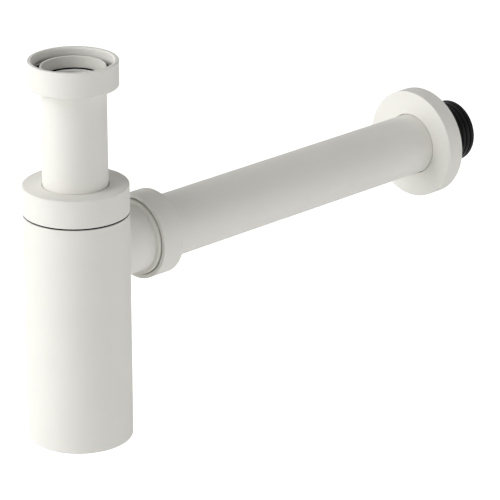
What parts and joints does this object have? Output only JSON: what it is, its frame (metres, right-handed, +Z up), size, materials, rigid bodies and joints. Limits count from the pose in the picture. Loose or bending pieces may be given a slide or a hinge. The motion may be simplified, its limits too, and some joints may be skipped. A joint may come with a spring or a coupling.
{
  "type": "bottle trap",
  "caption": "Round washbasin bottle trap with union nut, sliding inlet tube, collar, plain cylinder bottle, side outlet nut, level wall pipe, flat rosette and ribbed rubber wall seal.",
  "frame": {"origin": "centre of the union nut's mouth on the inlet axis, where the trap hangs from the basin waste", "axes": "+Z up along the inlet axis, +X level along the outlet axis towards the wall, +Y completes the right-handed frame"},
  "size_m": [0.2961, 0.0578, 0.1945],
  "materials": {
    "powder_coat_white": "matt warm white powder coat on brass",
    "turned_brass": "bare turned brass",
    "black_rubber": "matt black rubber with a soft sheen",
    "natural_nylon": "natural nylon",
    "white_polypropylene": "white polypropylene"
  },
  "bodies": {
    "inlet": {"inlet_tube": "powder_coat_white", "dip_tube": "white_polypropylene", "dip_tube_ring": "black_rubber"},
    "inlet_union": {"inlet_gasket": "black_rubber", "inlet_slip_ring": "natural_nylon"},
    "union_nut": {"inlet_nut": "powder_coat_white"},
    "tube_seal": {"collar_seal": "black_rubber"},
    "bottle": {"bottle_body": "powder_coat_white", "threaded_neck": "turned_brass", "outlet_spigot": "powder_coat_white", "collar_washer": "black_rubber"},
    "collar_carrier": {"collar_slip_ring": "natural_nylon"},
    "collar": {"collar_nut": "powder_coat_white"},
    "outlet_carrier": {"outlet_slip_ring": "natural_nylon"},
    "outlet_union": {"outlet_nut": "powder_coat_white"},
    "pipe_carrier": {"outlet_seal": "black_rubber"},
    "pipe": {"wall_pipe": "powder_coat_white", "wall_seal": "black_rubber"},
    "rosette_grip": {"rosette_grip_ring": "black_rubber"},
    "wall_cover": {"rosette": "powder_coat_white"},
    "plug_carrier": {"base_plug_oring": "black_rubber"},
    "plug": {"base_plug": "powder_coat_white"}
  },
  "joints": [
    {"name": "inlet_nut_slide", "type": "slide", "parent": "inlet", "child": "inlet_union", "axis": [0, 0, 1], "range_m": [-0.028, 0]},
    {"name": "inlet_nut_spin", "type": "hinge", "parent": "inlet_union", "child": "union_nut", "pos_m": [0, 0, -0.0064], "axis": [0, 0, 1], "continuous": true},
    {"name": "bottle_slide", "type": "slide", "parent": "inlet", "child": "tube_seal", "axis": [0, 0, 1], "range_m": [-0.02, 0.01]},
    {"name": "bottle_swivel", "type": "hinge", "parent": "tube_seal", "child": "bottle", "pos_m": [0, 0, -0.0713], "axis": [0, 0, 1], "continuous": true},
    {"name": "collar_lift", "type": "slide", "parent": "bottle", "child": "collar_carrier", "axis": [0, 0, 1], "range_m": [0, 0.00693]},
    {"name": "collar_turn", "type": "hinge", "parent": "collar_carrier", "child": "collar", "pos_m": [0, 0, -0.0696], "axis": [0, 0, 1], "range_deg": [0, 1080]},
    {"name": "outlet_nut_travel", "type": "slide", "parent": "bottle", "child": "outlet_carrier", "axis": [1, 0, 0], "range_m": [0, 0.00601]},
    {"name": "outlet_nut_turn", "type": "hinge", "parent": "outlet_carrier", "child": "outlet_union", "pos_m": [0.0445, 0, -0.10007], "axis": [1, 0, 0], "range_deg": [0, 1440]},
    {"name": "pipe_turn", "type": "hinge", "parent": "bottle", "child": "pipe_carrier", "pos_m": [0.0446, 0, -0.10007], "axis": [1, 0, 0], "continuous": true},
    {"name": "pipe_slide", "type": "slide", "parent": "pipe_carrier", "child": "pipe", "axis": [1, 0, 0], "range_m": [0, 0.005]},
    {"name": "rosette_slide", "type": "slide", "parent": "pipe", "child": "rosette_grip", "axis": [1, 0, 0], "range_m": [-0.17, 0]},
    {"name": "rosette_turn", "type": "hinge", "parent": "rosette_grip", "child": "wall_cover", "pos_m": [0.24198, 0, -0.10007], "axis": [1, 0, 0], "continuous": true},
    {"name": "plug_travel", "type": "slide", "parent": "bottle", "child": "plug_carrier", "axis": [0, 0, -1], "range_m": [0, 0.00601]},
    {"name": "plug_turn", "type": "hinge", "parent": "plug_carrier", "child": "plug", "pos_m": [0, 0, -0.189], "axis": [0, 0, -1], "range_deg": [0, 1440]}
  ],
  "couplings": [
    {"joint": "collar_lift", "follows": "collar_turn", "m_per_rad": 0.0003675},
    {"joint": "outlet_nut_travel", "follows": "outlet_nut_turn", "m_per_rad": 0.0002387},
    {"joint": "plug_travel", "follows": "plug_turn", "m_per_rad": 0.0002387}
  ]
}
